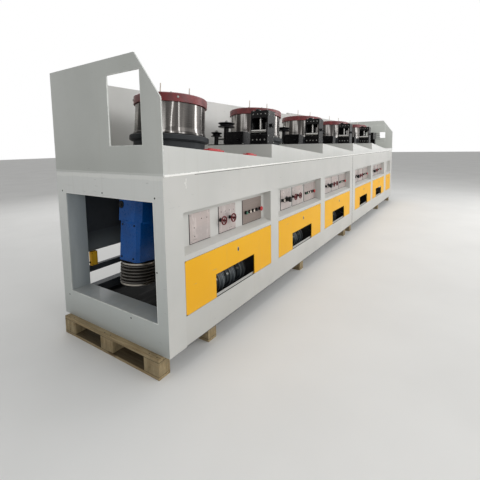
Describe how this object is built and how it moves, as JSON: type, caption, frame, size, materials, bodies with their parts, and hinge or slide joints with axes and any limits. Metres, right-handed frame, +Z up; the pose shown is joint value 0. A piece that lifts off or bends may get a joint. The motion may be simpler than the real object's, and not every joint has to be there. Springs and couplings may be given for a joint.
{
  "type": "straight-line wire drawing machine",
  "caption": "Long floor-standing wire drawing machine with a stepped deck, leaning steel drums, die boxes, control recesses, yellow covers and cross timbers.",
  "frame": {"origin": "centre of the machine's footprint, on the floor under the timbers", "axes": "+X along the wire from the entry to the exit, -Y towards the operator's side, +Z up"},
  "size_m": [8.292, 1.25, 2.144],
  "materials": {
    "timber": "rough sawn",
    "frame_paint": "satin",
    "panel_paint": "satin",
    "cover_paint": "satin",
    "stainless": "brushed",
    "red_paint": "gloss",
    "button": "gloss",
    "black_plastic": "matt",
    "drum_steel": "ground and polished",
    "cast_grey": "painted dark grey",
    "black_paint": "satin",
    "chrome": "polished",
    "blue_paint": "gloss",
    "belt_rubber": "matt",
    "duct_rubber": "matt"
  },
  "bodies": {
    "frame": {"timbers": "timber", "base_rails": "frame_paint", "floor_trays": "frame_paint", "posts": "frame_paint", "end_frames": "panel_paint", "end_plates": "panel_paint", "front_panels": "panel_paint", "rear_panels": "panel_paint", "deck_near": "panel_paint", "deck_far": "panel_paint", "rear_walls": "panel_paint", "front_covers": "cover_paint", "cover_locks": "black_paint", "control_plates": "stainless", "valves": "red_paint", "push_buttons": "button", "gauges": "black_plastic", "drum_bases": "cast_grey", "die_boxes": "black_paint", "die_rollers": "chrome", "guide_stands": "black_paint", "motors": "blue_paint", "gearboxes": "cast_grey", "belts": "belt_rubber", "air_ducts": "duct_rubber", "junction_box": "cover_paint", "wire_straightener": "black_paint"},
    "drum_1_body": {"drum_1": "drum_steel"},
    "drum_2_body": {"drum_2": "drum_steel"},
    "drum_3_body": {"drum_3": "drum_steel"},
    "drum_4_body": {"drum_4": "drum_steel"},
    "drum_5_body": {"drum_5": "drum_steel"},
    "guide_sheave_2_body": {"guide_sheave_2": "black_paint"},
    "guide_sheave_3_body": {"guide_sheave_3": "black_paint"},
    "guide_sheave_4_body": {"guide_sheave_4": "black_paint"},
    "guide_sheave_5_body": {"guide_sheave_5": "black_paint"},
    "low_sheave_2_body": {"low_sheave_2": "black_paint"},
    "low_sheave_3_body": {"low_sheave_3": "black_paint"},
    "low_sheave_4_body": {"low_sheave_4": "black_paint"},
    "low_sheave_5_body": {"low_sheave_5": "black_paint"},
    "motor_pulley_1_body": {"motor_pulley_1": "black_paint"},
    "motor_pulley_2_body": {"motor_pulley_2": "black_paint"},
    "motor_pulley_3_body": {"motor_pulley_3": "black_paint"},
    "motor_pulley_4_body": {"motor_pulley_4": "black_paint"},
    "motor_pulley_5_body": {"motor_pulley_5": "black_paint"}
  },
  "joints": [
    {"name": "drum_1_turn", "type": "hinge", "parent": "frame", "child": "drum_1_body", "pos_m": [-3.43457, -0.027, 1.6297], "axis": [0.0927, 0, 0.9957], "continuous": true},
    {"name": "drum_2_turn", "type": "hinge", "parent": "frame", "child": "drum_2_body", "pos_m": [-1.99457, -0.027, 1.6297], "axis": [0.0927, 0, 0.9957], "continuous": true},
    {"name": "drum_3_turn", "type": "hinge", "parent": "frame", "child": "drum_3_body", "pos_m": [-0.55457, -0.027, 1.6297], "axis": [0.0927, 0, 0.9957], "continuous": true},
    {"name": "drum_4_turn", "type": "hinge", "parent": "frame", "child": "drum_4_body", "pos_m": [0.93543, -0.027, 1.6297], "axis": [0.0927, 0, 0.9957], "continuous": true},
    {"name": "drum_5_turn", "type": "hinge", "parent": "frame", "child": "drum_5_body", "pos_m": [2.37543, -0.027, 1.6297], "axis": [0.0927, 0, 0.9957], "continuous": true},
    {"name": "guide_sheave_2_turn", "type": "hinge", "parent": "frame", "child": "guide_sheave_2_body", "pos_m": [-2.5265, 0.015, 1.74146], "axis": [0.0927, 0, 0.9957], "continuous": true},
    {"name": "guide_sheave_3_turn", "type": "hinge", "parent": "frame", "child": "guide_sheave_3_body", "pos_m": [-1.0865, 0.015, 1.74146], "axis": [0.0927, 0, 0.9957], "continuous": true},
    {"name": "guide_sheave_4_turn", "type": "hinge", "parent": "frame", "child": "guide_sheave_4_body", "pos_m": [0.4035, 0.015, 1.74146], "axis": [0.0927, 0, 0.9957], "continuous": true},
    {"name": "guide_sheave_5_turn", "type": "hinge", "parent": "frame", "child": "guide_sheave_5_body", "pos_m": [1.8435, 0.015, 1.74146], "axis": [0.0927, 0, 0.9957], "continuous": true},
    {"name": "low_sheave_2_turn", "type": "hinge", "parent": "frame", "child": "low_sheave_2_body", "pos_m": [-2.53577, 0.15, 1.64189], "axis": [0.0927, 0, 0.9957], "continuous": true},
    {"name": "low_sheave_3_turn", "type": "hinge", "parent": "frame", "child": "low_sheave_3_body", "pos_m": [-1.09577, 0.15, 1.64189], "axis": [0.0927, 0, 0.9957], "continuous": true},
    {"name": "low_sheave_4_turn", "type": "hinge", "parent": "frame", "child": "low_sheave_4_body", "pos_m": [0.39423, 0.15, 1.64189], "axis": [0.0927, 0, 0.9957], "continuous": true},
    {"name": "low_sheave_5_turn", "type": "hinge", "parent": "frame", "child": "low_sheave_5_body", "pos_m": [1.83423, 0.15, 1.64189], "axis": [0.0927, 0, 0.9957], "continuous": true},
    {"name": "motor_pulley_1_turn", "type": "hinge", "parent": "frame", "child": "motor_pulley_1_body", "pos_m": [-3.79189, 0.02, 0.61745], "axis": [0.0927, 0, 0.9957], "continuous": true},
    {"name": "motor_pulley_2_turn", "type": "hinge", "parent": "frame", "child": "motor_pulley_2_body", "pos_m": [-2.35189, 0.02, 0.61745], "axis": [0.0927, 0, 0.9957], "continuous": true},
    {"name": "motor_pulley_3_turn", "type": "hinge", "parent": "frame", "child": "motor_pulley_3_body", "pos_m": [-0.9119, 0.02, 0.61745], "axis": [0.0927, 0, 0.9957], "continuous": true},
    {"name": "motor_pulley_4_turn", "type": "hinge", "parent": "frame", "child": "motor_pulley_4_body", "pos_m": [0.5781, 0.02, 0.61745], "axis": [0.0927, 0, 0.9957], "continuous": true},
    {"name": "motor_pulley_5_turn", "type": "hinge", "parent": "frame", "child": "motor_pulley_5_body", "pos_m": [2.0181, 0.02, 0.61745], "axis": [0.0927, 0, 0.9957], "continuous": true}
  ],
  "couplings": [
    {"joint": "motor_pulley_1_turn", "follows": "drum_1_turn", "ratio": 8},
    {"joint": "motor_pulley_2_turn", "follows": "drum_2_turn", "ratio": 8},
    {"joint": "motor_pulley_3_turn", "follows": "drum_3_turn", "ratio": 8},
    {"joint": "motor_pulley_4_turn", "follows": "drum_4_turn", "ratio": 8},
    {"joint": "motor_pulley_5_turn", "follows": "drum_5_turn", "ratio": 8}
  ]
}
